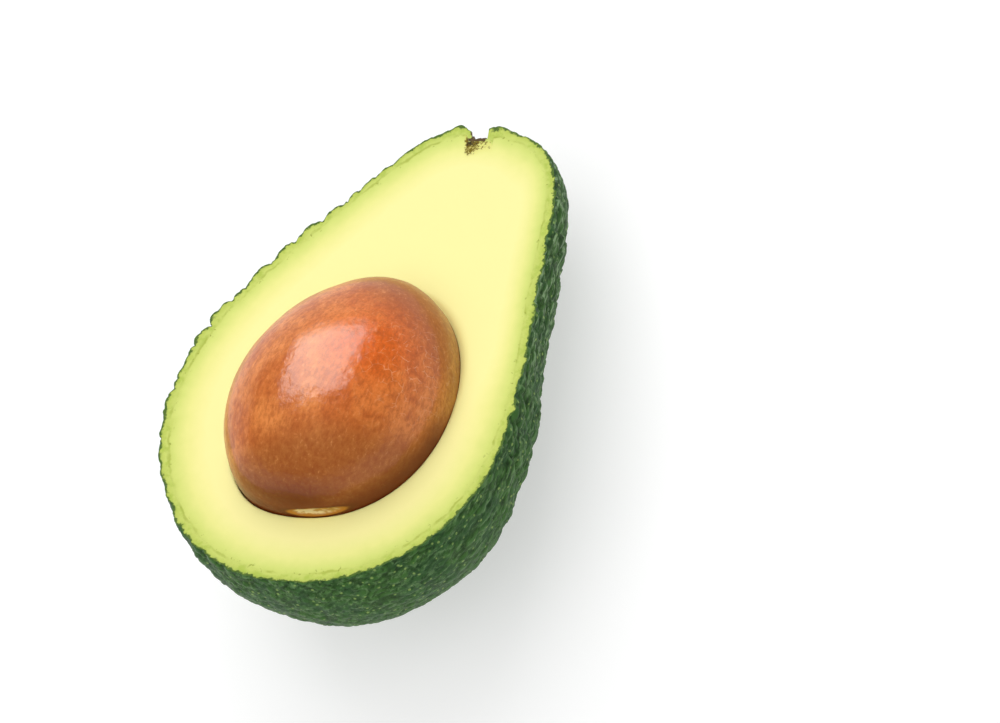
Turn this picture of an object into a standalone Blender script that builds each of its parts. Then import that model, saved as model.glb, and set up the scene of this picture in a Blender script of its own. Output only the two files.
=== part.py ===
"""Half an avocado, cut lengthways, lying on its skin with its stone in place.

The fruit is described in its own axes first: +X runs from the blossom end to the
stem end, Y runs across, and the cut face is the plane Z = 0 with the fruit below
it. An empty then lays the half down: the neck sinks a little, and the pressed
spot under the belly rests on the world's Z = 0 plane with the origin at its
middle. Units are metres and radians.
"""
import math

import bmesh
import bpy
from mathutils import Matrix, Vector

# Whole fruit
LENGTH = 0.108
# Roundness of the outline at five even steps, blossom end to stem end
FULLNESS = (0.087, 0.079, 0.083, 0.031, 0.070)
# Sideways drift of the centre line at the same five steps
DRIFT = (0.0, -0.0024, 0.0092, 0.0009, 0.0009)
DEPTH_TO_WIDTH = 0.99
CUT_ABOVE_MIDDLE = 0.0034

# Rind
SKIN_THICKNESS = 0.0020

# Stone, an egg with its narrow end towards the stem
STONE_CENTRE = Vector((0.0410, 0.0005, 0.0))
STONE_HALF_LENGTH = 0.0262
STONE_HALF_WIDTH = 0.0214
STONE_HALF_DEPTH = 0.0197
STONE_TAPER = 0.12

# Stem pit, with the corky scar that the stem left in it
PIT_MOUTH = Vector((0.1062, 0.0061, 0.0))
PIT_LEAN = math.radians(16)
PIT_DEPTH = 0.0040
PIT_MOUTH_RADIUS = 0.0027
PIT_FLOOR_RADIUS = 0.0021
SCAR_HEIGHT = 0.0012

# How the half lies
NECK_DOWN = math.radians(12)
PRESSED_BY = 0.0008

GAP = 0.0003

# Mesh density
AROUND = 56
DOWN = 12
CROWD_NECK = 0.3
CROWD_RIM = 1.3
PIT_SIDES = 20


def clear_scene():
    for old in list(bpy.data.objects):
        bpy.data.objects.remove(old)


def bernstein(values, t):
    order = len(values) - 1
    return sum(math.comb(order, i) * v * t**i * (1 - t)**(order - i) for i, v in enumerate(values))


def outside_fruit(point):
    """Below 0 inside the whole fruit, 0 on its surface, above 0 outside."""
    t = point.x / LENGTH
    if not 0 < t < 1:
        return 1.0 + abs(t - 0.5)
    half_width = math.sqrt(t * (1 - t)) * bernstein(FULLNESS, t)
    across = (point.y - bernstein(DRIFT, t)) / half_width
    depth = (point.z + CUT_ABOVE_MIDDLE) / (half_width * DEPTH_TO_WIDTH)
    return math.hypot(across, depth) - 1.0


def outside_stone(point):
    """The same for the stone."""
    along = (point.x - STONE_CENTRE.x) / STONE_HALF_LENGTH
    if not -1 < along < 1:
        return abs(along)
    girth = math.sqrt(1 - along * along) * (1 - STONE_TAPER * along)
    across = (point.y - STONE_CENTRE.y) / (STONE_HALF_WIDTH * girth)
    depth = (point.z - STONE_CENTRE.z) / (STONE_HALF_DEPTH * girth)
    return math.hypot(across, depth) - 1.0


def ray(around, down):
    """Direction from the stone's centre; around 0 is the stem, down 90 degrees is straight down."""
    level = math.cos(down)
    return Vector((level * math.cos(around), level * math.sin(around), -math.sin(down)))


def reach(outside, direction, offset):
    """Distance along a ray to the surface, moved outwards by offset at right angles to it."""
    near = 0.0
    far = LENGTH
    while far - near > 1e-7:
        middle = (near + far) / 2
        if outside(STONE_CENTRE + direction * middle) > 0:
            far = middle
        else:
            near = middle
    hit = STONE_CENTRE + direction * near
    step = 1e-5
    slope = Vector([outside(hit + axis * step) - outside(hit - axis * step) for axis in Matrix.Identity(3)])
    facing = max(slope.normalized().dot(direction), 0.4)
    return near + offset / facing


def turns():
    """Angles round the fruit, closer together at the neck, where the rays run far."""
    steps = [2 * math.pi * i / AROUND for i in range(AROUND)]
    return [step - CROWD_NECK * math.sin(step) for step in steps]


def descents():
    """Angles down from the cut face to just above the pole, closer together near the rim."""
    return [math.pi / 2 * (i / DOWN)**CROWD_RIM for i in range(DOWN)]


def add_rings(mesh, outside, offset, downs):
    """One ring of points for each angle down from the cut face."""
    rings = []
    for down in downs:
        ring = []
        for around in turns():
            direction = ray(around, down)
            point = STONE_CENTRE + direction * reach(outside, direction, offset)
            ring.append(mesh.verts.new(point))
        rings.append(ring)
    return rings


def add_pole(mesh, outside, offset, down):
    direction = ray(0.0, down)
    return mesh.verts.new(STONE_CENTRE + direction * reach(outside, direction, offset))


def join_rings(mesh, first, second):
    """Band of triangles between two rings, all split the same way."""
    for i in range(AROUND):
        j = (i + 1) % AROUND
        mesh.faces.new((first[i], second[i], second[j]))
        mesh.faces.new((first[i], second[j], first[j]))


def join_pole(mesh, ring, pole):
    for i in range(AROUND):
        mesh.faces.new((ring[i], pole, ring[(i + 1) % AROUND]))


def add_bowl_side(mesh, outside, offset):
    """Surface from the cut face down to the pole below the stone; gives back its rim."""
    rings = add_rings(mesh, outside, offset, descents())
    for upper, lower in zip(rings, rings[1:]):
        join_rings(mesh, upper, lower)
    join_pole(mesh, rings[-1], add_pole(mesh, outside, offset, math.pi / 2))
    return rings[0]


def make_object(name, mesh, material, parent):
    bmesh.ops.recalc_face_normals(mesh, faces=mesh.faces)
    data = bpy.data.meshes.new(name)
    mesh.to_mesh(data)
    mesh.free()
    data.materials.append(material)
    data.shade_smooth()
    data.set_sharp_from_angle(angle=math.radians(40))
    made = bpy.data.objects.new(name, data)
    made.parent = parent
    bpy.context.scene.collection.objects.link(made)
    return made


def make_material(name, colour, roughness):
    material = bpy.data.materials.new(name)
    material.use_nodes = True
    shader = material.node_tree.nodes["Principled BSDF"]
    shader.inputs["Base Color"].default_value = (*colour, 1.0)
    shader.inputs["Roughness"].default_value = roughness
    shader.inputs["Metallic"].default_value = 0.0
    return material


def bowl_mesh(outer, outer_offset, inner, inner_offset):
    """Thick bowl between two surfaces, open at the cut face only through its hollow."""
    mesh = bmesh.new()
    outer_rim = add_bowl_side(mesh, outer, outer_offset)
    inner_rim = add_bowl_side(mesh, inner, inner_offset)
    join_rings(mesh, outer_rim, inner_rim)
    return mesh


def press_flat(mesh, down, level):
    """Slice the bowl's outside off below a level, and close the slice with a flat face."""
    everything = mesh.verts[:] + mesh.edges[:] + mesh.faces[:]
    cut = bmesh.ops.bisect_plane(
        mesh, geom=everything, plane_co=down * level, plane_no=down, clear_outer=True)
    edges = [item for item in cut["geom_cut"] if isinstance(item, bmesh.types.BMEdge)]
    filled = bmesh.ops.contextual_create(mesh, geom=edges)["faces"]
    return filled[0].calc_center_median_weighted()


def make_skin(material, parent):
    """The rind, pressed flat where it lies; gives back the middle of the flat spot."""
    mesh = bowl_mesh(outside_fruit, 0.0, outside_fruit, -SKIN_THICKNESS)
    down = lying_rotation().inverted() @ Vector((0, 0, -1))
    lowest = max(vertex.co.dot(down) for vertex in mesh.verts)
    rest_spot = press_flat(mesh, down, lowest - PRESSED_BY)
    skin = make_object("skin", mesh, material, parent)
    return skin, rest_spot


def make_flesh(material, parent):
    """The flesh, inside the rind, with the socket that the stone sits in."""
    mesh = bowl_mesh(outside_fruit, -SKIN_THICKNESS - GAP, outside_stone, GAP)
    return make_object("flesh", mesh, material, parent)


def make_stone(material, parent):
    mesh = bmesh.new()
    climbs = [-down for down in descents()[:0:-1]]
    rings = add_rings(mesh, outside_stone, 0.0, climbs + descents())
    for upper, lower in zip(rings, rings[1:]):
        join_rings(mesh, upper, lower)
    join_pole(mesh, rings[0], add_pole(mesh, outside_stone, 0.0, -math.pi / 2))
    join_pole(mesh, rings[-1], add_pole(mesh, outside_stone, 0.0, math.pi / 2))
    return make_object("stone", mesh, material, parent)


def pit_axis():
    """Turns the Z axis to point out of the stem pit, lying in the cut face."""
    outwards = Vector((math.cos(PIT_LEAN), math.sin(PIT_LEAN), 0))
    return outwards.to_track_quat("Z", "Y").to_matrix().to_4x4()


def tapered_plug(floor_radius, top_radius, bottom, top):
    """Tapered round plug on the pit's axis, heights measured inwards from the mouth."""
    mesh = bmesh.new()
    middle = Matrix.Translation((0, 0, (bottom + top) / 2))
    bmesh.ops.create_cone(
        mesh, cap_ends=True, segments=PIT_SIDES, radius1=floor_radius, radius2=top_radius,
        depth=top - bottom, matrix=Matrix.Translation(PIT_MOUTH) @ pit_axis() @ middle)
    return mesh


def cut_stem_pit(pieces, parent):
    """Hidden tapered cutter that opens the stem pit in the rind and the flesh."""
    slope = (PIT_MOUTH_RADIUS - PIT_FLOOR_RADIUS) / PIT_DEPTH
    above = PIT_DEPTH
    mesh = tapered_plug(PIT_FLOOR_RADIUS, PIT_MOUTH_RADIUS + slope * above, -PIT_DEPTH, above)
    cutter = make_object("stem_pit_cutter", mesh, make_material("cutter", (1, 0, 0), 1.0), parent)
    cutter.hide_render = True
    cutter.display_type = "WIRE"
    for piece in pieces:
        cut = piece.modifiers.new("stem_pit", "BOOLEAN")
        cut.operation = "DIFFERENCE"
        cut.object = cutter


def make_scar(material, parent):
    """Half disc of cork on the floor of the stem pit, cut through with the fruit."""
    radius = PIT_FLOOR_RADIUS - GAP
    bottom = -PIT_DEPTH + GAP
    mesh = tapered_plug(radius, radius, bottom, bottom + SCAR_HEIGHT)
    everything = mesh.verts[:] + mesh.edges[:] + mesh.faces[:]
    cut = bmesh.ops.bisect_plane(
        mesh, geom=everything, plane_co=(0, 0, 0), plane_no=(0, 0, 1), clear_outer=True)
    edges = [item for item in cut["geom_cut"] if isinstance(item, bmesh.types.BMEdge)]
    bmesh.ops.contextual_create(mesh, geom=edges)
    return make_object("stem_scar", mesh, material, parent)


def lying_rotation():
    return Matrix.Rotation(NECK_DOWN, 3, "Y")


def main():
    clear_scene()
    half = bpy.data.objects.new("avocado_half", None)
    bpy.context.scene.collection.objects.link(half)

    skin, rest_spot = make_skin(make_material("skin", (0.052, 0.105, 0.030), 0.45), half)
    flesh = make_flesh(make_material("flesh", (0.93, 0.87, 0.40), 0.50), half)
    make_stone(make_material("stone", (0.42, 0.14, 0.055), 0.35), half)
    make_scar(make_material("scar", (0.06, 0.035, 0.015), 0.85), half)
    cut_stem_pit([skin, flesh], half)

    half.rotation_euler = (0, NECK_DOWN, 0)
    half.location = -(lying_rotation() @ rest_spot)


main()
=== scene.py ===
"""Looks of half an avocado: pebbled rind, cut flesh, glossy stone and corky stem pit.

The rind, the flesh and the stone are worked out along rays from the stone's centre,
in the fruit's own axes: +X towards the stem, the cut face at Z = 0 and the fruit
below it. Their rings of points, and the scar's grid, are then laid down into the
frame, where they replace the CAD solids. Lengths are in metres and angles in radians.
"""
import math

import bpy
import numpy as np
from mathutils import Matrix, Vector, noise


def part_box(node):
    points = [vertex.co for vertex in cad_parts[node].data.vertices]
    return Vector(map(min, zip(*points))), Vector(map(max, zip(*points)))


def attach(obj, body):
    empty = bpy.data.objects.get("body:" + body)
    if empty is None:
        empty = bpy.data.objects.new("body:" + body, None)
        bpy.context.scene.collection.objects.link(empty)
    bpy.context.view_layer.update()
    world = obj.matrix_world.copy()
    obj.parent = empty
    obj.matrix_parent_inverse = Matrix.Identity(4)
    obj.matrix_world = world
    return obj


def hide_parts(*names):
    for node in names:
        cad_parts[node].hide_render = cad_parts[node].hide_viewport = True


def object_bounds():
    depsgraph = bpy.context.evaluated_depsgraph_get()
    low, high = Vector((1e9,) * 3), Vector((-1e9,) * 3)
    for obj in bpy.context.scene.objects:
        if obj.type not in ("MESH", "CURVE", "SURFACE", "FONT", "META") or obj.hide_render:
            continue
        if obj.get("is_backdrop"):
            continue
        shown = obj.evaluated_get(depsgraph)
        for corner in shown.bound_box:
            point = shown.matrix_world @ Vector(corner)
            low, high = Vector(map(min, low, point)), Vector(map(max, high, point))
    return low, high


MM = 0.001

# The whole fruit's shape, as in the CAD
LENGTH = 108 * MM
FULLNESS = (0.087, 0.079, 0.083, 0.031, 0.070)
DRIFT = (0.0, -0.0024, 0.0092, 0.0009, 0.0009)
DEPTH_TO_WIDTH = 0.99
CUT_ABOVE_MIDDLE = 3.4 * MM
SKIN_THICKNESS = 2.0 * MM
NECK_DOWN = math.radians(12)

# The stone's shape, as in the CAD
STONE_CENTRE = np.array((41.0, 0.5, 0.0)) * MM
STONE_HALF_SIZE = np.array((26.2, 21.4, 19.7)) * MM
STONE_TAPER = 0.12

# The stem pit, with its middle below the cut face, and the shoulder and collar round it
PIT_MOUTH = np.array((105.9, 5.6, -2.6)) * MM
PIT_LEAN = math.radians(27)
PIT_DEPTH = 3.1 * MM
PIT_FLOOR_RADIUS = 2.95 * MM
PIT_MOUTH_RADIUS = 3.2 * MM
PIT_FADE = 14 * MM
PIT_LINING = 0.6 * MM
COLLAR_RADIUS = 5.0 * MM
COLLAR_HEIGHT = 0.5 * MM
COLLAR_HALF_WIDTH = 1.4 * MM
SHOULDER_REACH = 1.1 * MM
SHOULDER_DROP = 0.26
TORN_DROP = 0.42
SCAR_THICKNESS = 0.9 * MM
SCAR_CRUMBS = 0.45 * MM
SCAR_CLIMB = 1.3 * MM
SCAR_CLEAR = 0.05 * MM

# Share of the way to the pit floor's lowest point that the scar reaches, short of having no width
SCAR_REACH = 0.98

# Torn and stained flesh by the pit's floor: where each starts, is full, ebbs and ends,
# across the pit and out of its floor; the stain's last two are depths below the floor
TORN_ACROSS = np.array((0.9, 1.3, 2.5, 3.1)) * MM
TORN_OUT = np.array((-0.4, 0.2, 1.6, 2.1)) * MM
UNDER_ACROSS = np.array((-2.0, -1.6, 1.6, 2.0)) * MM
UNDER_OUT = np.array((-0.9, -0.5, 0.6, 1.0)) * MM
UNDER_SHARE = 0.4
STAIN_ACROSS = np.array((-3.0, -1.8, 2.6, 3.4)) * MM
STAIN_FULL = 0.6 * MM
STAIN_END = 3.0 * MM

# Where the stone bulges from its egg shape: angle round it, half width and height
STONE_BULGES = ((math.radians(163), math.radians(17), 1.0 * MM), (0.0, math.radians(14), 0.3 * MM))

# Pale patch where the seed coat parts at the stone's blunt end
BASE_MIDDLE = np.array((18.2, -5.9, 1.1)) * MM
BASE_HALF_SIZE = np.array((9.0, 5.6, 1.1)) * MM
BASE_DEPTH = 0.9 * MM

# Soft patches on the stone: where it is reddest, painted shade by the pale patch, and veined
BLUSH_MIDDLE = np.array((44, -9, 17)) * MM
BLUSH_HALF_SIZE = np.array((11, 9, 14)) * MM
SHADE_MIDDLE = np.array((15, -4, 4)) * MM
SHADE_HALF_SIZE = np.array((5, 13, 5)) * MM
VEINS_MIDDLE = np.array((44, -15, 11)) * MM
VEINS_HALF_SIZE = np.array((10, 8, 12)) * MM

# Where the stone's painted shade and painted reflection change: shade at its blunt end and its tip, the
# flesh's reflection along its rim, and from narrow to blunt half, where the rim turns from reflection to
# shade
DUSK_RANGE = (26 * MM, 19 * MM)
TIP_RANGE = (53 * MM, 62 * MM)
RIM_RANGE = (6.5 * MM, 1.0 * MM)
BLUNT_RANGE = (50 * MM, 40 * MM)

# Lumps of the stone in millimetres, kept lower than the slit to its socket
BROAD_LUMPS = 0.25
SMALL_LUMPS = 0.04
LUMP_LIMIT = 0.05

# Rounded edge of the socket in the flesh, widest on one side
LIP = 0.5 * MM
WIDE_LIP = 2.6 * MM
WIDE_LIP_AT = math.radians(-38)
WIDE_LIP_SPREAD = 0.55
LIP_DROP = 0.35

# Mesh density
AROUND = 640
SKIN_DOWN = 112
FLESH_ACROSS = 40
HIDDEN_DOWN = 16
STONE_DOWN = 110
SCAR_ACROSS = 40
SCAR_DOWN = 24

# Rings across the rind's cut edge, as shares of its thickness
RIM_SHARES = (0.04, 0.1, 0.18, 0.35, 0.55, 0.75, 0.9)

# Relief of the rind
PEBBLE_SIZE = 5.0 * MM
PEBBLE_HEIGHT = 1.35 * MM
BEAD_SIZE = 1.8 * MM
BEAD_HEIGHT = 0.42 * MM
SWELL_SIZE = 15 * MM
SWELL_HEIGHT = 0.5 * MM
RELIEF_SEED = 7

# Where the pebbles grow coarse, along the neck and on the +Y side, and where they fade at the top
NECK_RANGE = (20 * MM, 55 * MM)
SIDE_RANGE = (-5 * MM, 22 * MM)
TOP_RANGE = (88 * MM, 100 * MM)

# Where the painted highlights and shade in long lines on the neck fade in, along the frame's X
NECK_GLINTS_FROM = 2 * MM
NECK_GLINTS_FULL = 26 * MM

# Where the cut face's green band narrows, along the neck and towards -Y, and by how much
NARROWER_ALONG = (45 * MM, 62 * MM)
NARROWER_ACROSS = (-4 * MM, -12 * MM)
NARROWER_BY = 0.5

# Clear space kept between the pieces
SLIT = 0.01 * MM
SOCKET_SLIT = 0.10 * MM

SHARP_EDGE = math.radians(60)

# How bright and how hazy the cut face looks under the lights
CUT_BRIGHTNESS = 1.09
CUT_HAZE = 0.02

# Colours of the cut face as seen, and how far from the rind's outside each one lies
CUT_EDGE = (190, 205, 95)
CUT_GREEN = (218, 228, 128)
CUT_YELLOW = (240, 240, 150)
CUT_CREAM = (255, 248, 170)
CUT_EDGE_AT = 0.5 * MM
CUT_GREEN_AT = 3 * MM
CUT_YELLOW_AT = 5.5 * MM
CUT_CREAM_AT = 9.5 * MM

# Floor, with the shares of its white that it reflects and that it glows
FLOOR_SIZE = 4.0
FLOOR_REFLECTS = 0.50
FLOOR_GLOWS = 0.55

# Camera, and how far right and up of the object's middle it aims
CAMERA_AZIMUTH = math.radians(-28.7)
CAMERA_ELEVATION = math.radians(55.9)
CAMERA_ROLL = math.radians(-42.9)
CAMERA_DISTANCE = 1.006
CAMERA_LENS = 191.4
FRAME_RIGHT = 21.8 * MM
FRAME_UP = 0.3 * MM

# Lights, with their sizes in metres and powers in watts
SOFTBOX_PLACE = Vector((0.768, 0.402, 1.160))
SOFTBOX_SIZE = (1.34, 1.46)
SOFTBOX_SIDE = Vector((0.277, -0.947, -0.16))
SOFTBOX_POWER = 14.5
GLEAM_POWER = 47.0
FILL_PLACE = Vector((-0.45, -0.05, 1.62))
FILL_SIZE = 1.6
FILL_POWER = 17.0

# World: its glow at the horizon and overhead, and the heights on a unit sphere between which it fades
HORIZON_GLOW = 0.95
OVERHEAD_GLOW = 0.12
GLOW_LOW = 0.08
GLOW_HIGH = 0.42


# ---------------------------------------------------------------- shape of the fruit

def bernstein(values, t):
    order = len(values) - 1
    return sum(math.comb(order, i) * v * t**i * (1 - t)**(order - i) for i, v in enumerate(values))


def fruit_level(points):
    """Below 0 inside the whole fruit, 0 on its smooth surface, above 0 outside."""
    t = np.clip(points[..., 0] / LENGTH, 1e-6, 1 - 1e-6)
    half_width = np.sqrt(t * (1 - t)) * bernstein(FULLNESS, t)
    across = (points[..., 1] - bernstein(DRIFT, t)) / half_width
    depth = (points[..., 2] + CUT_ABOVE_MIDDLE) / (half_width * DEPTH_TO_WIDTH)
    past_end = np.abs(2 * points[..., 0] / LENGTH - 1)
    return np.maximum(np.hypot(across, depth), past_end) - 1.0


def stone_level(points):
    """The same for the stone."""
    place = (points - STONE_CENTRE) / STONE_HALF_SIZE
    along = np.clip(place[..., 0], -1 + 1e-9, 1 - 1e-9)
    girth = np.sqrt(1 - along**2) * (1 - STONE_TAPER * along)
    past_end = np.abs(place[..., 0])
    return np.maximum(np.hypot(place[..., 1], place[..., 2]) / girth, past_end) - 1.0


def surface(level, directions):
    """Where rays from the stone's centre meet a surface, and how squarely they meet it."""
    near = np.zeros(directions.shape[:-1])
    far = np.full(directions.shape[:-1], LENGTH)
    for _ in range(28):
        middle = (near + far) / 2
        outside = level(STONE_CENTRE + directions * middle[..., None]) > 0
        far = np.where(outside, middle, far)
        near = np.where(outside, near, middle)
    hit = STONE_CENTRE + directions * near[..., None]
    step = 1e-5
    slope = np.stack([level(hit + axis * step) - level(hit - axis * step) for axis in np.eye(3)], axis=-1)
    normal = slope / np.linalg.norm(slope, axis=-1, keepdims=True)
    facing = np.maximum(np.sum(normal * directions, axis=-1), 0.4)
    return hit, facing


def moved(hit, directions, facing, distance):
    """Points moved along their rays until they lie a distance off the surface."""
    return hit + directions * (distance / facing)[..., None]


def smooth_step(low, high, value):
    t = np.clip((value - low) / (high - low), 0, 1)
    return t * t * (3 - 2 * t)


def swell_and_ebb(stops, value):
    """0 up to the first stop, 1 between the second and third, 0 again past the last."""
    start, full, ebb, end = stops
    return smooth_step(start, full, value) * smooth_step(end, ebb, value)


# ---------------------------------------------------------------- rays

def turns():
    """Angles round the fruit, evenly spread along its outline and crowded at the stem pit."""
    fine = np.linspace(0, 2 * math.pi, 4001)
    flat = np.stack([np.cos(fine), np.sin(fine), np.zeros_like(fine)], axis=-1)
    rim = surface(fruit_level, flat)[0]
    step = np.linalg.norm(np.diff(rim, axis=0), axis=1)
    to_pit = np.linalg.norm((rim[1:] + rim[:-1]) / 2 - PIT_MOUTH, axis=1)
    share = np.cumsum(step * (1 + 9 * np.exp(-(to_pit / (3 * MM))**2)))
    share = np.concatenate([[0], share / share[-1]])
    return np.interp(np.arange(AROUND) / AROUND, share, fine)


def rays(downs):
    """Directions for a ring of rays at each angle down from the cut face."""
    around = TURNS[None, :]
    down = np.asarray(downs)[:, None]
    level = np.cos(down)
    return np.stack([level * np.cos(around), level * np.sin(around), -np.sin(down) + 0 * around], axis=-1)


def straight(sign):
    """The ray straight down or up, as a ring of one."""
    return np.array([[0.0, 0.0, float(sign)]])


def descents(count, crowding):
    """Angles from the cut face to just above straight down, closer together near the rim."""
    return math.pi / 2 * (np.arange(count) / count)**crowding


# ---------------------------------------------------------------- stem pit

def pit_axes():
    """Directions out of the stem pit and across it, both in the cut face."""
    out = np.array((math.cos(PIT_LEAN), math.sin(PIT_LEAN), 0.0))
    across = np.array((-math.sin(PIT_LEAN), math.cos(PIT_LEAN), 0.0))
    return out, across


def pit_place(points):
    """How far each point is out of the pit's mouth, across it, and off its axis."""
    out, across = pit_axes()
    offset = points - PIT_MOUTH
    outwards = offset @ out
    sideways = offset @ across
    off_axis = np.hypot(sideways, offset[..., 2])
    return outwards, sideways, np.where(points[..., 0] > STONE_CENTRE[0], off_axis, LENGTH)


def dented(points, spread=0.0):
    """Points pushed in along the stem pit's axis over the pit, and less and less below it."""
    outwards, sideways, off_axis = pit_place(points)
    share = 1 - smooth_step(PIT_FLOOR_RADIUS, PIT_MOUTH_RADIUS, off_axis - spread)
    drop = SHOULDER_DROP + (TORN_DROP - SHOULDER_DROP) * smooth_step(-2 * MM, 2 * MM, sideways)
    shoulder = 1 - smooth_step(PIT_FLOOR_RADIUS, PIT_MOUTH_RADIUS + SHOULDER_REACH, off_axis - spread)
    share = np.maximum(share, drop * shoulder)
    share = share * np.clip(1 + outwards / PIT_FADE, 0, 1)
    return points - (PIT_DEPTH * share)[..., None] * pit_axes()[0]


def rind_thickness(points):
    """Full thickness away from the stem pit, a thin lining inside it."""
    away = smooth_step(PIT_MOUTH_RADIUS, PIT_MOUTH_RADIUS + 1.5 * MM, pit_place(points)[2])
    return PIT_LINING + (SKIN_THICKNESS - PIT_LINING) * away


def inside_rind(hit, directions, facing, clear):
    """The rind's inner surface, or the flesh's outer one a slit further in; the pit is left out."""
    return moved(hit, directions, facing, -rind_thickness(hit) - clear)


def cork_share(points):
    """1 where the pit is lined with dark cork, most on the side that was torn."""
    _, sideways, off_axis = pit_place(points)
    torn = smooth_step(-0.8 * MM, 1.0 * MM, sideways)
    inside = 1 - smooth_step(PIT_MOUTH_RADIUS - 0.3 * MM, PIT_MOUTH_RADIUS + 0.2 * MM, off_axis)
    floor = 1 - smooth_step(PIT_FLOOR_RADIUS - 0.3 * MM, PIT_FLOOR_RADIUS + 0.15 * MM, off_axis)
    return np.maximum(inside * torn, floor)


def stain_share(points):
    """1 in the discoloured flesh under the pit's torn side, less under the rest, fading out all round."""
    outwards, sideways, _ = pit_place(points)
    below = -outwards - PIT_DEPTH
    torn = smooth_step(0.0, 1.4 * MM, sideways)
    fading = smooth_step(STAIN_END, STAIN_FULL, below)
    return fading * (0.45 + 0.55 * torn) * swell_and_ebb(STAIN_ACROSS, sideways)


def torn_share(points):
    """1 in the dark torn tissue beside the pit's floor on one side, and just under the floor."""
    outwards, sideways, _ = pit_place(points)
    height = outwards + PIT_DEPTH
    beside = swell_and_ebb(TORN_ACROSS, sideways) * swell_and_ebb(TORN_OUT, height)
    under = swell_and_ebb(UNDER_ACROSS, sideways) * swell_and_ebb(UNDER_OUT, height)
    return np.maximum(beside, UNDER_SHARE * under)


# ---------------------------------------------------------------- relief

def per_point(measure, points):
    """A number from Blender's noise for each point."""
    flat = [measure(Vector(point)) for point in points.reshape(-1, 3)]
    return np.array(flat).reshape(points.shape[:-1])


def dome(place, size, stretch, warp):
    """Height from 0 to 1 over a cobbled pattern, with narrow valleys between its domes."""
    cell = Vector((place.x / stretch, place.y, place.z)) / size
    cell += noise.noise_vector(place / (1.3 * size)) * warp
    nearest = noise.voronoi(cell)[0]
    rise = min((nearest[1] - nearest[0]) / 0.6, 1.0)
    return rise * (2 - rise)


def relief(points):
    """Height of the rind over the smooth fruit, and of the small beads alone."""
    # Without a seed, noise_vector takes its offsets from the clock
    noise.seed_set(RELIEF_SEED)
    pebbles = per_point(lambda p: dome(p, PEBBLE_SIZE, 1.2, 0.35), points)
    beads = per_point(lambda p: dome(p, BEAD_SIZE, 1.5, 0.5), points)
    swell = per_point(lambda p: noise.noise(p / SWELL_SIZE), points)
    uneven = per_point(lambda p: 0.8 + 0.7 * noise.noise(p / (9 * MM)), points)
    side = smooth_step(*SIDE_RANGE, points[..., 1])
    neck = smooth_step(*NECK_RANGE, points[..., 0])
    top = smooth_step(*TOP_RANGE, points[..., 0])
    coarse = (0.22 + 0.48 * neck + 0.3 * side) * (1 - 0.7 * top) * uneven
    fine = BEAD_HEIGHT * (0.65 + 0.35 * neck)
    collar = COLLAR_HEIGHT * np.exp(-((pit_place(points)[2] - COLLAR_RADIUS) / COLLAR_HALF_WIDTH)**2)
    height = PEBBLE_HEIGHT * coarse * (pebbles - 0.75) + fine * (beads - 0.6) + SWELL_HEIGHT * swell
    return height + collar, beads


# ---------------------------------------------------------------- meshes

class Rings:
    """Rings of points from pole to pole, with the attributes of each point."""

    def __init__(self, *keys):
        self.points = []
        self.values = {key: [] for key in keys}

    def add(self, points, **values):
        """Adds one ring in the fruit's axes; a pole is a ring of one point."""
        self.add_laid(lay(points), **values)

    def add_laid(self, points, **values):
        self.points.append(points)
        for key, value in values.items():
            self.values[key].append(np.broadcast_to(value, len(points)))

    def build(self, name):
        """Closed mesh through all the rings, its faces pointing out whichever pole comes first."""
        last = 1 + (len(self.points) - 2) * AROUND
        after = [(j + 1) % AROUND for j in range(AROUND)]
        faces = [(0, 1 + j, 1 + after[j]) for j in range(AROUND)]
        for upper in range(1, last - AROUND, AROUND):
            lower = upper + AROUND
            faces += [(upper + j, lower + j, lower + after[j], upper + after[j]) for j in range(AROUND)]
        faces += [(last - AROUND + j, last, last - AROUND + after[j]) for j in range(AROUND)]
        mesh = bpy.data.meshes.new(name)
        mesh.from_pydata(np.concatenate(self.points).tolist(), [], faces)
        starts_low = self.points[0][0, 2] < self.points[-1][0, 2]
        if starts_low:
            mesh.flip_normals()
        for key, rings in self.values.items():
            layer = mesh.attributes.new(key, "FLOAT", "POINT")
            layer.data.foreach_set("value", np.concatenate(rings).astype(np.float32))
        return smooth_object(name, mesh)


def smooth_object(name, mesh):
    mesh.shade_smooth()
    mesh.set_sharp_from_angle(angle=SHARP_EDGE)
    made = bpy.data.objects.new(name, mesh)
    bpy.context.scene.collection.objects.link(made)
    return made


def slab(name, top, bottom):
    """Closed mesh between two grids of points that share their edges' layout."""
    rows, columns = top.shape[:2]
    under = rows * columns
    faces = []
    for i in range(rows - 1):
        for j in range(columns - 1):
            corners = (i * columns + j, (i + 1) * columns + j, (i + 1) * columns + j + 1, i * columns + j + 1)
            faces.append(corners)
            faces.append(tuple(under + corner for corner in reversed(corners)))
    first_row = list(range(columns))
    last_column = [i * columns + columns - 1 for i in range(1, rows)]
    last_row = [(rows - 1) * columns + j for j in range(columns - 2, -1, -1)]
    first_column = [i * columns for i in range(rows - 2, 0, -1)]
    border = first_row + last_column + last_row + first_column
    for here, there in zip(border, border[1:] + border[:1]):
        faces.append((here, there, under + there, under + here))
    mesh = bpy.data.meshes.new(name)
    mesh.from_pydata(np.concatenate([top, bottom]).reshape(-1, 3).tolist(), [], faces)
    return smooth_object(name, mesh)


def lying():
    """Turn from the fruit's axes into the frame's, and the shift onto the CAD's stone."""
    turn = np.array(Matrix.Rotation(NECK_DOWN, 3, "Y"))
    ball = rays(np.linspace(-math.pi / 2, math.pi / 2, 181))
    points = (surface(stone_level, ball)[0] @ turn.T).reshape(-1, 3)
    middle = (points.min(axis=0) + points.max(axis=0)) / 2
    low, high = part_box("stone")
    return turn, (np.array(low) + np.array(high)) / 2 - middle


def lay(points):
    turn, shift = LYING
    return points @ turn.T + shift


def hand_over(piece, node, material):
    piece.data.materials.append(material)
    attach(piece, "root")
    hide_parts(node)


# ---------------------------------------------------------------- pieces

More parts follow.
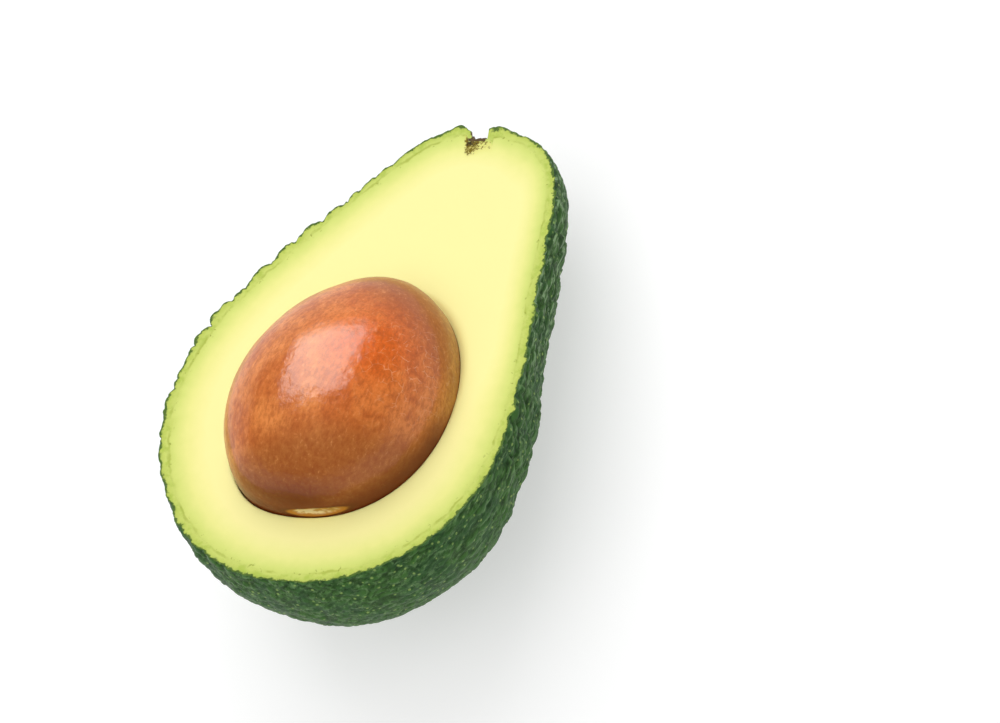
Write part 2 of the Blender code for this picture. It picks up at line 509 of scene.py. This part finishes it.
def make_skin(material):
    """Rind: pebbled outside pressed flat where it lies, cut edge, smooth inside."""
    directions = rays(descents(SKIN_DOWN, 1.5))
    hit, facing = surface(fruit_level, directions)
    height, beads = relief(hit)
    outer = dented(moved(hit, directions, facing, height))
    inner = dented(inside_rind(hit, directions, facing, 0.0), PIT_LINING)
    outside = lay(outer)
    outside[..., 2] = np.maximum(outside[..., 2], 0)
    cork = cork_share(hit)
    bottom, bottom_facing = surface(fruit_level, straight(-1))
    under_stone = moved(bottom, straight(-1), bottom_facing, -SKIN_THICKNESS)

    rings = Rings("depth", "bead", "cork")
    pole = lay(bottom)
    pole[:, 2] = np.maximum(pole[:, 2], 0)
    rings.add_laid(pole, depth=0, bead=0.5, cork=0)
    for row in reversed(range(SKIN_DOWN)):
        rings.add_laid(outside[row], depth=0, bead=beads[row], cork=cork[row])
    for share in RIM_SHARES:
        ring = outer[0] + (inner[0] - outer[0]) * share
        torn = np.maximum(cork[0], torn_share(ring))
        rings.add(ring, depth=SKIN_THICKNESS * share, bead=0.5, cork=torn)
    for row in np.linspace(0, SKIN_DOWN - 1, HIDDEN_DOWN).astype(int):
        rings.add(inner[row], depth=SKIN_THICKNESS, bead=0.5, cork=cork[row])
    rings.add(under_stone, depth=SKIN_THICKNESS, bead=0.5, cork=0)
    hand_over(rings.build("rind"), "skin", material)


def socket_lip():
    """Width of the socket's rounded edge for each ray."""
    off = (TURNS - WIDE_LIP_AT + math.pi) % (2 * math.pi) - math.pi
    return LIP + (WIDE_LIP - LIP) * np.exp(-(off / WIDE_LIP_SPREAD)**2)


def make_flesh(material):
    """Flesh: outside against the rind, flat cut face, rounded edge and socket for the stone."""
    directions = rays(descents(SKIN_DOWN, 1.5)[::4])
    hit, facing = surface(fruit_level, directions)
    outer = inside_rind(hit, directions, facing, SLIT)
    socket, socket_facing = surface(stone_level, directions)
    socket = moved(socket, directions, socket_facing, SOCKET_SLIT + stone_bulge(directions))
    bottom, bottom_facing = surface(fruit_level, straight(-1))
    under_skin = moved(bottom, straight(-1), bottom_facing, -SKIN_THICKNESS - SLIT)
    bottom, bottom_facing = surface(stone_level, straight(-1))
    under_stone = moved(bottom, straight(-1), bottom_facing, SOCKET_SLIT)

    rings = Rings("depth", "stain", "torn")
    rings.add(under_skin, depth=SKIN_THICKNESS, stain=0, torn=0)
    for row in reversed(range(len(directions))):
        ring = flesh_dented(outer[row])
        rings.add(ring, depth=SKIN_THICKNESS, stain=stain_share(ring), torn=torn_share(ring))
    add_cut_face(rings, outer[0], socket[0], hit[0])
    for row in range(len(directions)):
        ring = socket[row].copy()
        ring[:, 2] = np.minimum(ring[:, 2], -LIP_DROP * socket_lip())
        rings.add(ring, depth=LENGTH, stain=0, torn=0)
    rings.add(under_stone, depth=LENGTH, stain=0, torn=0)
    hand_over(rings.build("flesh_cut"), "flesh", material)


def flesh_dented(points):
    return dented(points, PIT_LINING + SLIT)


def add_cut_face(rings, outer, socket, outline):
    """Rings over the flat cut face from the rind inwards, then over the socket's rounded edge."""
    lip = socket_lip()
    run = outer - socket
    reach = np.linalg.norm(run, axis=-1)
    for share in (np.arange(1, FLESH_ACROSS) / FLESH_ACROSS)**1.25:
        add_cut_ring(rings, outer - run * share * (1 - lip / reach)[:, None], outline)
    for share in np.linspace(1, 0, 9)[1:-1]:
        ring = socket + run * (share * lip / reach)[:, None]
        ring[:, 2] -= LIP_DROP * lip * (1 - share)**2.2
        add_cut_ring(rings, ring, outline)


def add_cut_ring(rings, ring, outline):
    """One ring across the cut face; its depth is the distance to the fruit's outline, or more."""
    ring = flesh_dented(ring)
    gaps = ring[:, None, :2] - outline[None, :, :2]
    depth = np.sqrt(np.min(np.sum(gaps**2, axis=-1), axis=1))
    narrower = smooth_step(*NARROWER_ALONG, ring[:, 0]) * smooth_step(*NARROWER_ACROSS, ring[:, 1])
    depth = SKIN_THICKNESS + (depth - SKIN_THICKNESS) * (1 + NARROWER_BY * narrower)
    rings.add(ring, depth=depth, stain=stain_share(ring), torn=torn_share(ring))


def stone_bulge(directions):
    """How far the stone stands out from its egg shape along each ray."""
    angle = np.arctan2(directions[..., 1], directions[..., 0])
    level = np.hypot(directions[..., 0], directions[..., 1])
    bulge = np.zeros(angle.shape)
    for middle, half_width, height in STONE_BULGES:
        off = (angle - middle + math.pi) % (2 * math.pi) - math.pi
        bulge += height * np.exp(-(off / half_width)**2) * level**4
    return bulge


def make_stone(material):
    """Stone: an egg, a little uneven, with the pale patch at its blunt end sunk in."""
    climbs = descents(STONE_DOWN // 2, 1.35)
    directions = rays(np.concatenate([-climbs[:0:-1], climbs]))
    hit, facing = surface(stone_level, directions)
    broad = per_point(lambda p: noise.noise(p / (11 * MM)), hit)
    small = per_point(lambda p: noise.noise(p / (2.5 * MM)), hit)
    lumps = np.minimum(BROAD_LUMPS * broad + SMALL_LUMPS * small, LUMP_LIMIT) * MM
    base = patch(hit, BASE_MIDDLE, BASE_HALF_SIZE)
    rise = lumps + stone_bulge(directions) - BASE_DEPTH * smooth_step(0.3, 0.8, base)
    points = moved(hit, directions, facing, rise)
    top = surface(stone_level, straight(1))[0]
    bottom = surface(stone_level, straight(-1))[0]

    rings = Rings("base", "blush", "dusk", "tip", "gold", "shade", "veined")
    add_stone_ring(rings, top, 0)
    for ring, share in zip(points, base):
        add_stone_ring(rings, ring, share)
    add_stone_ring(rings, bottom, 0)
    hand_over(rings.build("stone_body"), "stone", material)


def patch(points, middle, half_size):
    """1 in the middle of a soft round patch, about a third at its half size, 0 far from it."""
    return np.exp(-np.sum(((points - middle) / half_size)**2, axis=-1))


def add_stone_ring(rings, ring, base):
    """One ring of the stone, with how much of each of its colours, painted shades and painted reflection
    every point has.
    """
    x, y, z = ring.T
    # Painted shade: darker brown towards the blunt end
    dusk = smooth_step(*DUSK_RANGE, x + 0.5 * y)
    # Painted shade: darker towards the narrow tip and its -Y side
    tip = smooth_step(*TIP_RANGE, x - 0.5 * y)
    at_rim = smooth_step(*RIM_RANGE, z)
    blunt = smooth_step(*BLUNT_RANGE, x - 0.2 * y)
    # Painted shade: dark along the rim of the blunt half, where the stone meets the flesh, and by the pale
    # patch
    shade = np.maximum(0.95 * at_rim * blunt, patch(ring, SHADE_MIDDLE, SHADE_HALF_SIZE))
    # The golden rim of the narrow half is a painted reflection of the yellow flesh
    rings.add(
        ring, base=base, blush=patch(ring, BLUSH_MIDDLE, BLUSH_HALF_SIZE), dusk=dusk, tip=tip,
        gold=at_rim * (1 - blunt), shade=shade, veined=patch(ring, VEINS_MIDDLE, VEINS_HALF_SIZE))


def make_scar(material):
    """Crumbly disc of cork on the pit's floor, cut off above its middle, climbing the torn side."""
    out, across = pit_axes()
    radius = PIT_FLOOR_RADIUS - SCAR_CLEAR
    down = np.linspace(0, SCAR_REACH, SCAR_DOWN)[:, None]
    side = np.linspace(-1, 1, SCAR_ACROSS)[None, :]
    height = SCAR_CLEAR + down * (radius - PIT_MOUTH[2])
    width = np.sqrt(np.maximum(radius**2 - (height + PIT_MOUTH[2])**2, 0))
    place = PIT_MOUTH + side[..., None] * width[..., None] * across - PIT_DEPTH * out
    place[..., 2] = -height
    bottom = place + 0.1 * MM * out
    crumbs = per_point(lambda p: noise.noise(p / (1.1 * MM)) + 0.7 * noise.noise(p / (0.45 * MM)), place)
    climb = smooth_step(0.45, 1.0, side)
    thickness = SCAR_THICKNESS + SCAR_CRUMBS * crumbs + SCAR_CLIMB * climb
    top = place + thickness[..., None] * out
    scar = slab("scar", lay(top), lay(bottom))
    hand_over(scar, "stem_scar", material)


# ---------------------------------------------------------------- materials

class Graph:
    """Adds and links the nodes of one material."""

    def __init__(self, name):
        self.material = bpy.data.materials.new(name)
        self.material.use_nodes = True
        self.nodes = self.material.node_tree.nodes
        self.links = self.material.node_tree.links
        self.shader = self.nodes["Principled BSDF"]

    def set(self, node, **values):
        """Sets or links a node's inputs by name, with spaces written as underscores."""
        for key, value in values.items():
            socket = node.inputs[key.replace("_", " ")]
            if isinstance(value, bpy.types.NodeSocket):
                self.links.new(value, socket)
            else:
                socket.default_value = value
        return node

    def attribute(self, name):
        node = self.nodes.new("ShaderNodeAttribute")
        node.attribute_name = name
        return node.outputs["Fac"]

    def place(self):
        return self.nodes.new("ShaderNodeTexCoord").outputs["Object"]

    def along(self, place):
        """How far a place is from the frame's origin towards the neck."""
        node = self.nodes.new("ShaderNodeSeparateXYZ")
        self.set(node, Vector=place)
        return node.outputs["X"]

    def stretched(self, place, scale):
        node = self.nodes.new("ShaderNodeVectorMath")
        node.operation = "MULTIPLY"
        self.set(node, Vector=place)
        node.inputs[1].default_value = scale
        return node.outputs["Vector"]

    def warped(self, place, size, distance):
        """Place shifted about by noise."""
        wander = self.nodes.new("ShaderNodeTexNoise")
        self.set(wander, Vector=place, Scale=1 / size)
        node = self.nodes.new("ShaderNodeVectorMath")
        node.operation = "MULTIPLY_ADD"
        self.links.new(wander.outputs["Color"], node.inputs[0])
        node.inputs[1].default_value = (distance,) * 3
        self.links.new(place, node.inputs[2])
        return node.outputs["Vector"]

    def noise(self, place, size, detail=3.0, roughness=0.5):
        node = self.nodes.new("ShaderNodeTexNoise")
        self.set(node, Vector=place, Scale=1 / size, Detail=detail, Roughness=roughness)
        return node.outputs["Fac"]

    def cells(self, place, size, feature="F1"):
        node = self.nodes.new("ShaderNodeTexVoronoi")
        node.feature = feature
        self.set(node, Vector=place, Scale=1 / size)
        return node.outputs["Distance"]

    def ramp(self, value, *stops):
        """Colour ramp from (position, colour) stops; positions run from 0 to 1."""
        node = self.nodes.new("ShaderNodeValToRGB")
        band = node.color_ramp
        band.elements[0].position = stops[0][0]
        band.elements[-1].position = stops[-1][0]
        for position, _ in stops[1:-1]:
            band.elements.new(position)
        for element, (position, colour) in zip(band.elements, stops):
            element.color = (*colour, 1.0)
        self.set(node, Fac=value)
        return node.outputs["Color"]

    def span(self, value, low, high, to_low=0.0, to_high=1.0):
        """Smooth step of a value from one range into another."""
        node = self.nodes.new("ShaderNodeMapRange")
        node.interpolation_type = "SMOOTHSTEP"
        self.set(node, Value=value, From_Min=low, From_Max=high, To_Min=to_low, To_Max=to_high)
        return node.outputs["Result"]

    def line(self, value, low, high, to_low=0.0, to_high=1.0):
        """The same with a straight slope."""
        node = self.nodes.new("ShaderNodeMapRange")
        self.set(node, Value=value, From_Min=low, From_Max=high, To_Min=to_low, To_Max=to_high)
        return node.outputs["Result"]

    def mix(self, share, first, second):
        node = self.nodes.new("ShaderNodeMix")
        node.data_type = "RGBA"
        for socket, value in zip((node.inputs[0], node.inputs[6], node.inputs[7]), (share, first, second)):
            if isinstance(value, bpy.types.NodeSocket):
                self.links.new(value, socket)
            else:
                socket.default_value = value if isinstance(value, (int, float)) else (*value, 1.0)
        return node.outputs[2]

    def math(self, operation, *values):
        node = self.nodes.new("ShaderNodeMath")
        node.operation = operation
        for socket, value in zip(node.inputs, values):
            if isinstance(value, bpy.types.NodeSocket):
                self.links.new(value, socket)
            else:
                socket.default_value = value
        return node.outputs[0]

    def bump(self, height, distance, strength=1.0):
        node = self.nodes.new("ShaderNodeBump")
        self.set(node, Height=height, Distance=distance, Strength=strength)
        return node.outputs["Normal"]


def from_srgb(red, green, blue):
    """Linear colour from the 0 to 255 values seen on a screen."""
    seen = np.array((red, green, blue)) / 255
    return tuple(np.where(seen <= 0.04045, seen / 12.92, ((seen + 0.055) / 1.055)**2.4).tolist())


def as_lit(red, green, blue):
    """Base colour that looks like these 0 to 255 values on the lit cut face."""
    return tuple(max(level - CUT_HAZE, 0.002) / CUT_BRIGHTNESS for level in from_srgb(red, green, blue))


def cut_colour(graph, place, depth):
    """Colour of the cut face from the rind's edge inwards, the same in the rind and the flesh."""
    wander = graph.math("MULTIPLY_ADD", graph.noise(place, 2.6 * MM, 4.0), 1.6 * MM, -0.8 * MM)
    wander = graph.math("MULTIPLY", wander, graph.span(depth, 0.0, 1.0 * MM))
    depth = graph.math("ADD", depth, wander)
    colour = graph.ramp(
        graph.line(depth, 0.0, CUT_CREAM_AT),
        (CUT_EDGE_AT / CUT_CREAM_AT, as_lit(*CUT_EDGE)), (CUT_GREEN_AT / CUT_CREAM_AT, as_lit(*CUT_GREEN)),
        (CUT_YELLOW_AT / CUT_CREAM_AT, as_lit(*CUT_YELLOW)), (1.0, as_lit(*CUT_CREAM)))

    band = graph.span(depth, 1.4 * MM, 2.4 * MM, 1.0, 0.0)
    blotch = graph.span(graph.noise(place, 2.0 * MM, 5.0, 0.6), 0.46, 0.66, 0.0, 0.6)
    colour = graph.mix(graph.math("MULTIPLY", band, blotch), colour, as_lit(166, 190, 70))
    near_seam = graph.span(depth, 1.5 * MM, 1.9 * MM)
    seam = graph.math("MULTIPLY", near_seam, graph.span(depth, 2.0 * MM, 2.3 * MM, 1.0, 0.0))
    seam = graph.math("MULTIPLY", seam, graph.span(graph.noise(place, 5 * MM, 4.0), 0.46, 0.64, 0.05, 0.6))
    colour = graph.mix(seam, colour, as_lit(160, 174, 64))
    dots = graph.math("MULTIPLY", near_seam, graph.span(depth, 2.2 * MM, 3.2 * MM, 1.0, 0.0))
    spots = graph.span(graph.noise(place, 0.9 * MM, 3.0, 0.6), 0.62, 0.70, 0.0, 0.7)
    return graph.mix(graph.math("MULTIPLY", dots, spots), colour, as_lit(132, 146, 48))


def ragged(graph, place, share):
    """A point's share of something, roughened by noise so that its edge looks torn."""
    jitter = graph.line(graph.noise(place, 0.8 * MM, 4.0), 0.3, 0.7, -0.35, 0.35)
    return graph.math("ADD", share, jitter)


def outside_colour(graph, place):
    """Green of the rind's outside: painted shade and light over the beads, patches, lengthwise painted sheen,
    painted highlights and shade along the neck, soot and pale specks.
    """
    stretched = graph.stretched(place, (0.35, 1.0, 1.0))
    # Painted shade in the valleys between the beads and painted light on their tops
    bead = graph.span(graph.attribute("bead"), 0.0, 0.9)
    outside = graph.mix(bead, from_srgb(42, 72, 30), from_srgb(66, 108, 48))
    patches = graph.span(graph.noise(place, 7 * MM, 4.0), 0.44, 0.62, 0.0, 0.5)
    outside = graph.mix(patches, outside, from_srgb(46, 82, 50))
    # Painted sheen: pale lengthwise streaks that stand in for the waxy rind's highlights on its pebbles
    sheen_streaks = graph.span(graph.noise(stretched, 1.1 * MM, 5.0, 0.65), 0.48, 0.68, 0.0, 0.7)
    outside = graph.mix(sheen_streaks, outside, from_srgb(112, 148, 94))
    # Painted highlights and painted shade along the neck: pale glints where grazing light would catch the
    # pebbles' crests, dark lines between them
    glint_lines = graph.noise(graph.stretched(place, (0.16, 1.0, 1.0)), 1.0 * MM, 4.0, 0.6)
    neck = graph.span(graph.along(place), NECK_GLINTS_FROM, NECK_GLINTS_FULL)
    pale = graph.math("MULTIPLY", neck, graph.span(glint_lines, 0.52, 0.64, 0.0, 0.7))
    outside = graph.mix(pale, outside, from_srgb(156, 186, 140))
    dark = graph.math("MULTIPLY", neck, graph.span(glint_lines, 0.48, 0.38, 0.0, 0.4))
    outside = graph.mix(dark, outside, from_srgb(26, 50, 26))
    soot = graph.span(graph.noise(stretched, 0.8 * MM, 5.0, 0.6), 0.50, 0.32, 0.0, 0.7)
    outside = graph.mix(soot, outside, from_srgb(24, 46, 18))
    speck = graph.span(graph.cells(place, 1.6 * MM), 0.10, 0.24, 1.0, 0.0)
    speck = graph.math("MULTIPLY", speck, graph.span(graph.noise(place, 1.3 * MM), 0.36, 0.52, 0.25, 0.85))
    return graph.mix(speck, outside, from_srgb(146, 176, 96))


def skin_material():
    graph = Graph("rind")
    place = graph.place()
    depth = graph.attribute("depth")
    edge = graph.noise(place, 1.3 * MM, 4.0, 0.6)
    edge = graph.math("MULTIPLY_ADD", edge, 2.2 * MM, -0.85 * MM)
    rim = graph.span(graph.math("SUBTRACT", depth, edge), 0.0, 0.4 * MM)
    cut = graph.mix(rim, as_lit(76, 102, 44), cut_colour(graph, place, depth))
    colour = graph.mix(graph.span(depth, 0.01 * MM, 0.07 * MM), outside_colour(graph, place), cut)
    char = graph.mix(graph.noise(place, 0.5 * MM), from_srgb(26, 18, 8), from_srgb(92, 70, 24))
    cork = ragged(graph, place, graph.attribute("cork"))
    colour = graph.mix(graph.span(cork, 0.35, 0.65), colour, char)

    normal = graph.bump(graph.noise(place, 0.5 * MM, 5.0, 0.6), 0.16 * MM, 0.7)
    graph.set(graph.shader, Base_Color=colour, Roughness=0.48, Normal=normal)
    graph.shader.inputs["Specular IOR Level"].default_value = 0.07
    graph.shader.inputs["Sheen Weight"].default_value = 0.06
    graph.shader.inputs["Sheen Roughness"].default_value = 0.35
    graph.shader.inputs["Sheen Tint"].default_value = (0.75, 0.9, 0.65, 1.0)
    return graph.material


def flesh_material():
    graph = Graph("flesh")
    place = graph.place()
    colour = cut_colour(graph, place, graph.attribute("depth"))
    stain = graph.attribute("stain")
    colour = graph.mix(graph.math("MULTIPLY", stain, 0.55), colour, as_lit(214, 196, 92))
    fleck = graph.math("MULTIPLY_ADD", stain, 0.2, graph.noise(place, 0.8 * MM, 4.0, 0.7))
    fleck = graph.math("MULTIPLY", graph.span(fleck, 0.58, 0.70), graph.span(stain, 0.05, 0.35))
    colour = graph.mix(fleck, colour, as_lit(120, 104, 24))
    crumbs = graph.span(graph.noise(place, 0.4 * MM, 4.0), 0.4, 0.65)
    char = graph.mix(crumbs, as_lit(34, 26, 8), as_lit(124, 104, 36))
    torn = ragged(graph, place, graph.attribute("torn"))
    colour = graph.mix(graph.span(torn, 0.35, 0.65, 0.0, 0.95), colour, char)
    bump = graph.bump(graph.noise(place, 1.6 * MM, 4.0, 0.55), 0.03 * MM, 0.35)
    graph.set(graph.shader, Base_Color=colour, Roughness=0.5, Normal=bump)
    graph.shader.inputs["Specular IOR Level"].default_value = 0.04
    return graph.material


# Zones of the stone's colour: attribute, strength and colour; dusk and tip are painted shade, gold is a
# painted reflection of the flesh, blush is the coat's own red
STONE_ZONES = (
    ("dusk", 0.9, (170, 100, 46)), ("tip", 0.9, (162, 86, 28)),
    ("blush", 0.85, (224, 98, 20)), ("gold", 0.7, (190, 136, 48)))


def seed_coat(graph, place):
    """Colour of the seed coat: broad zones, two of them painted shade and one a painted reflection, with
    mottling and fibres over them.
    """
    broad = graph.span(graph.noise(place, 8 * MM, 4.0), 0.40, 0.60)
    coat = graph.mix(broad, from_srgb(222, 134, 68), from_srgb(200, 110, 50))
    for zone, share, colour in STONE_ZONES:
        coat = graph.mix(graph.math("MULTIPLY", graph.attribute(zone), share), coat, from_srgb(*colour))
    mottle = graph.noise(graph.warped(place, 2 * MM, 1.6 * MM), 1.7 * MM, 6.0, 0.68)
    coat = graph.mix(graph.span(mottle, 0.56, 0.34, 0.0, 0.32), coat, from_srgb(146, 64, 24))
    coat = graph.mix(graph.span(mottle, 0.56, 0.70, 0.0, 0.3), coat, from_srgb(236, 156, 88))
    fibres = graph.noise(graph.stretched(place, (0.45, 1.0, 1.0)), 0.7 * MM, 6.0, 0.7)
    coat = graph.mix(graph.span(fibres, 0.56, 0.34, 0.0, 0.42), coat, from_srgb(146, 62, 24))
    return graph.mix(graph.span(fibres, 0.56, 0.72, 0.0, 0.4), coat, from_srgb(240, 166, 100))


def with_veins(graph, place, coat):
    """Fine pale veins over part of the seed coat."""
    wavy = graph.warped(place, 2.2 * MM, 1.4 * MM)
    vein = graph.span(graph.cells(wavy, 1.9 * MM, "DISTANCE_TO_EDGE"), 0.0, 0.06, 1.0, 0.0)
    vein = graph.math("MULTIPLY", vein, graph.span(graph.noise(place, 1.6 * MM), 0.44, 0.62, 0.0, 0.4))
    vein = graph.math("MULTIPLY", vein, graph.attribute("veined"))
    return graph.mix(vein, coat, from_srgb(250, 200, 150))


def with_base(graph, place, coat):
    """The pale streaky patch at the blunt end, with a dark lip and a golden edge round it."""
    base = graph.attribute("base")
    coat = graph.mix(graph.span(base, 0.08, 0.26), coat, from_srgb(112, 56, 12))
    coat = graph.mix(graph.span(base, 0.26, 0.40), coat, from_srgb(196, 128, 40))
    streak = graph.span(graph.noise(graph.stretched(place, (1.0, 0.3, 1.5)), 1.0 * MM), 0.42, 0.56)
    pale = graph.mix(streak, from_srgb(214, 166, 80), from_srgb(252, 232, 168))
    return graph.mix(graph.span(base, 0.42, 0.60), coat, pale)


def stone_material():
    graph = Graph("stone")
    place = graph.place()
    coat = with_veins(graph, place, seed_coat(graph, place))
    # Painted shade along the blunt half's rim and by the pale patch
    coat = graph.mix(graph.attribute("shade"), coat, from_srgb(116, 50, 8))
    coat = with_base(graph, place, coat)
    waves = graph.noise(place, 2.6 * MM, 2.0)
    crinkles = graph.noise(graph.warped(place, 1.5 * MM, 1 * MM), 0.7 * MM, 5.0, 0.6)
    bump = graph.bump(graph.math("MULTIPLY_ADD", crinkles, 0.4, waves), 0.11 * MM)
    graph.set(graph.shader, Base_Color=coat, Roughness=0.4, Normal=bump, Coat_Normal=bump)
    graph.shader.inputs["Specular IOR Level"].default_value = 0.05
    graph.shader.inputs["Coat Weight"].default_value = 0.5
    graph.shader.inputs["Coat Roughness"].default_value = 0.08
    return graph.material


def scar_material():
    graph = Graph("cork")
    place = graph.place()
    colour = graph.ramp(
        graph.noise(place, 0.45 * MM, 4.0, 0.7),
        (0.35, from_srgb(20, 12, 6)), (0.55, from_srgb(74, 54, 22)), (0.7, from_srgb(150, 122, 58)))
    bump = graph.bump(graph.noise(place, 0.25 * MM, 4.0), 0.1 * MM)
    graph.set(graph.shader, Base_Color=colour, Roughness=0.9, Normal=bump)
    return graph.material


def floor_material():
    """A white table that reflects a part and glows a part, so that shadows stay light."""
    graph = Graph("floor")
    graph.set(graph.shader, Base_Color=(*[FLOOR_REFLECTS] * 3, 1.0), Roughness=0.9)
    graph.set(graph.shader, Emission_Color=(1.0, 1.0, 1.0, 1.0), Emission_Strength=FLOOR_GLOWS)
    graph.shader.inputs["Specular IOR Level"].default_value = 0.0
    return graph.material


# ---------------------------------------------------------------- stage

def make_floor():
    half = FLOOR_SIZE / 2
    mesh = bpy.data.meshes.new("floor")
    corners = [(-half, -half, 0), (half, -half, 0), (half, half, 0), (-half, half, 0)]
    mesh.from_pydata(corners, [], [(0, 1, 2, 3)])
    mesh.materials.append(floor_material())
    floor = bpy.data.objects.new("floor", mesh)
    bpy.context.scene.collection.objects.link(floor)
    floor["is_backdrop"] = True


def make_camera():
    low, high = (Vector(corner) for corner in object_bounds())
    level = math.cos(CAMERA_ELEVATION)
    towards = Vector((
        level * math.sin(CAMERA_AZIMUTH), -level * math.cos(CAMERA_AZIMUTH), math.sin(CAMERA_ELEVATION)))
    turn = towards.to_track_quat("Z", "Y").to_matrix() @ Matrix.Rotation(CAMERA_ROLL, 3, "Z")
    aim = (low + high) / 2 + turn @ Vector((FRAME_RIGHT, FRAME_UP, 0))
    data = bpy.data.cameras.new("camera")
    data.lens = CAMERA_LENS
    data.clip_end = 20
    camera = bpy.data.objects.new("camera", data)
    camera.matrix_world = Matrix.Translation(aim + towards * CAMERA_DISTANCE) @ turn.to_4x4()
    bpy.context.scene.collection.objects.link(camera)
    bpy.context.scene.camera = camera


def add_area_light(name, place, size, power, side):
    """Rectangular light that faces the origin, with one side along a direction."""
    data = bpy.data.lights.new(name, "AREA")
    data.shape = "RECTANGLE"
    data.size, data.size_y = size
    data.energy = power
    facing = place.normalized()
    side = (side - facing * side.dot(facing)).normalized()
    turn = Matrix((side, facing.cross(side), facing)).transposed()
    light = bpy.data.objects.new(name, data)
    light.matrix_world = Matrix.Translation(place) @ turn.to_4x4()
    bpy.context.scene.collection.objects.link(light)
    return light


def make_lights():
    """A softbox, a gleam in its place that shows only in gloss, and a wide fill that doesn't."""
    add_area_light("softbox", SOFTBOX_PLACE, SOFTBOX_SIZE, SOFTBOX_POWER, SOFTBOX_SIDE)
    gleam = add_area_light("gleam", SOFTBOX_PLACE * 0.999, SOFTBOX_SIZE, GLEAM_POWER, SOFTBOX_SIDE)
    gleam.visible_diffuse = False
    fill = add_area_light("fill", FILL_PLACE, (FILL_SIZE, FILL_SIZE), FILL_POWER, Vector((1, 0, 0)))
    fill.visible_glossy = False


def make_world():
    """White all round at table height and dark overhead, so that gloss shows only the softbox."""
    world = bpy.data.worlds.new("studio")
    world.use_nodes = True
    nodes = world.node_tree.nodes
    links = world.node_tree.links
    direction = nodes.new("ShaderNodeTexCoord")
    parts = nodes.new("ShaderNodeSeparateXYZ")
    glow = nodes.new("ShaderNodeMapRange")
    glow.interpolation_type = "SMOOTHSTEP"
    glow.inputs["From Min"].default_value = GLOW_LOW
    glow.inputs["From Max"].default_value = GLOW_HIGH
    glow.inputs["To Min"].default_value = HORIZON_GLOW
    glow.inputs["To Max"].default_value = OVERHEAD_GLOW
    links.new(direction.outputs["Generated"], parts.inputs["Vector"])
    links.new(parts.outputs["Z"], glow.inputs["Value"])
    links.new(glow.outputs["Result"], nodes["Background"].inputs["Strength"])
    nodes["Background"].inputs["Color"].default_value = (1, 1, 1, 1)
    bpy.context.scene.world = world
    bpy.context.scene.view_settings.view_transform = "Standard"


# ---------------------------------------------------------------- the scene

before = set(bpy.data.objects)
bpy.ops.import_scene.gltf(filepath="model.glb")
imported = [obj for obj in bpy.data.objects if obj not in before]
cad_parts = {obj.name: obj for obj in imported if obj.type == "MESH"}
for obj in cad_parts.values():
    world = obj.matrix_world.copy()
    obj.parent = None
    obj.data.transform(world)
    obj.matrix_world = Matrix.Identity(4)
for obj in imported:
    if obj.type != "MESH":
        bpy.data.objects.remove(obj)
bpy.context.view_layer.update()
TURNS = turns()
LYING = lying()

make_camera()
make_lights()
make_world()
make_floor()
make_skin(skin_material())
make_flesh(flesh_material())
make_stone(stone_material())
make_scar(scar_material())
